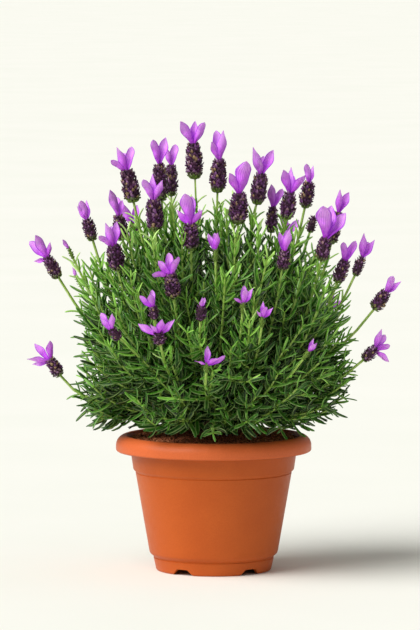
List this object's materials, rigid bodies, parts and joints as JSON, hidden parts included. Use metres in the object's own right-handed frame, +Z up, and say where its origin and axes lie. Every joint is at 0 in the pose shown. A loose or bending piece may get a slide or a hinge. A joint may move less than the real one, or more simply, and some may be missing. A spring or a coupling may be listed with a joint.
{
  "type": "potted lavender plant",
  "caption": "Bushy crested lavender in flower, with narrow grey-green leaves, dark spikes and violet bracts, growing in a flared round plastic pot with a rolled rim.",
  "frame": {"origin": "on the pot's axis, in the plane of the standing ring that the pot rests on", "axes": "+Z up the pot's axis, -Y towards the front of the plant, +X to the right seen from the front"},
  "size_m": [0.3809, 0.3611, 0.4591],
  "materials": {
    "pot_plastic": "terracotta-coloured moulded plastic, fine satin grain",
    "potting_soil": "moist, granular, dark reddish-brown composted bark and coir",
    "bark": "rough grey-brown bark, shredding lengthways",
    "foliage": "matte felted green leaves with rolled edges, lighter square stems",
    "flower": "dark purple-brown scaly spikes under thin, veined violet bracts"
  },
  "bodies": {
    "root": {"branch_back": "foliage", "branch_back_left": "foliage", "branch_back_right": "foliage", "branch_front": "foliage", "branch_front_left": "foliage", "branch_front_mid_left": "foliage", "branch_front_mid_right": "foliage", "branch_front_right": "foliage", "branch_left": "foliage", "branch_left_upper": "foliage", "branch_right": "foliage", "branch_right_low": "foliage", "branch_upper_back": "foliage", "branch_upper_left": "foliage", "branch_upper_right": "foliage", "flower_head_back_1": "flower", "flower_head_back_2": "flower", "flower_head_back_left_1": "flower", "flower_head_back_left_2": "flower", "flower_head_back_left_3": "flower", "flower_head_back_right_1": "flower", "flower_head_back_right_2": "flower", "flower_head_front_1": "flower", "flower_head_front_2": "flower", "flower_head_front_3": "flower", "flower_head_front_left_1": "flower", "flower_head_front_left_2": "flower", "flower_head_front_left_3": "flower", "flower_head_front_mid_left_1": "flower", "flower_head_front_mid_left_2": "flower", "flower_head_front_mid_left_3": "flower", "flower_head_front_mid_right_1": "flower", "flower_head_front_mid_right_2": "flower", "flower_head_front_mid_right_3": "flower", "flower_head_front_right_1": "flower", "flower_head_front_right_2": "flower", "flower_head_left_1": "flower", "flower_head_left_2": "flower", "flower_head_left_3": "flower", "flower_head_left_upper_1": "flower", "flower_head_left_upper_2": "flower", "flower_head_left_upper_3": "flower", "flower_head_right_1": "flower", "flower_head_right_2": "flower", "flower_head_right_3": "flower", "flower_head_right_low_1": "flower", "flower_head_right_low_2": "flower", "flower_head_right_low_3": "flower", "flower_head_upper_back_1": "flower", "flower_head_upper_back_2": "flower", "flower_head_upper_back_3": "flower", "flower_head_upper_left_1": "flower", "flower_head_upper_left_2": "flower", "flower_head_upper_left_3": "flower", "flower_head_upper_right_1": "flower", "flower_head_upper_right_2": "flower", "flower_head_upper_right_3": "flower", "pot": "pot_plastic", "soil": "potting_soil", "woody_base": "bark"}
  },
  "joints": []
}
